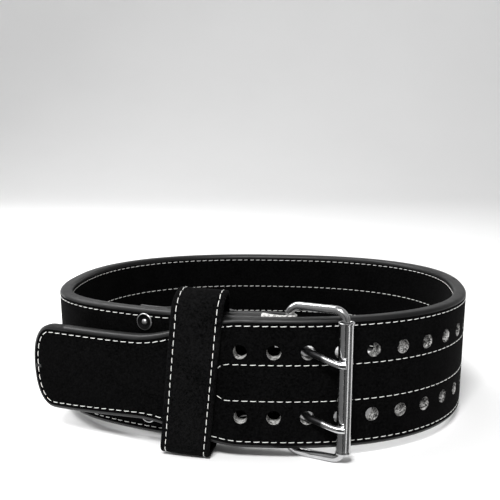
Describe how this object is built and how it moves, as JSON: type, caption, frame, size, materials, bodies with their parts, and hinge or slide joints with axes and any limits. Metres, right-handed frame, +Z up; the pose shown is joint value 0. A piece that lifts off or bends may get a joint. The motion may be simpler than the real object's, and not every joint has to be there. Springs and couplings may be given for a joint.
{
  "type": "weightlifting belt",
  "caption": "Wide black suede weightlifting belt closed to a ring by a double-prong roller buckle, with its tongue through a leather keeper and contrast stitching along the strap.",
  "frame": {"origin": "bottom centre of the belt's box, on the surface that the belt stands on", "axes": "the buckle and the tongue are in front, at -Y; +X is to the right as the front is seen; +Z is up. The ring's own axis leans 1.9 degrees from +Z, because the keeper and the buckle reach below the strap in front."},
  "size_m": [0.3688, 0.3398, 0.1313],
  "materials": {
    "black_suede": "matte black suede with a short nap",
    "edge_paint": "dark grey painted leather edge, satin, with faint layer lines",
    "thread": "off-white twisted thread",
    "plated_steel": "bright nickel-plated steel, lightly brushed along the wire",
    "rivet_steel": "satin nickel-plated rivet"
  },
  "bodies": {
    "root": {"strap": "black_suede", "keeper": "black_suede", "buckle_frame": "plated_steel", "buckle_roller": "plated_steel", "prong_upper": "plated_steel", "prong_lower": "plated_steel", "rivet_1_1": "rivet_steel", "rivet_1_2": "rivet_steel", "rivet_1_3": "rivet_steel", "rivet_2_1": "rivet_steel", "rivet_2_2": "rivet_steel", "rivet_2_3": "rivet_steel"}
  },
  "joints": []
}
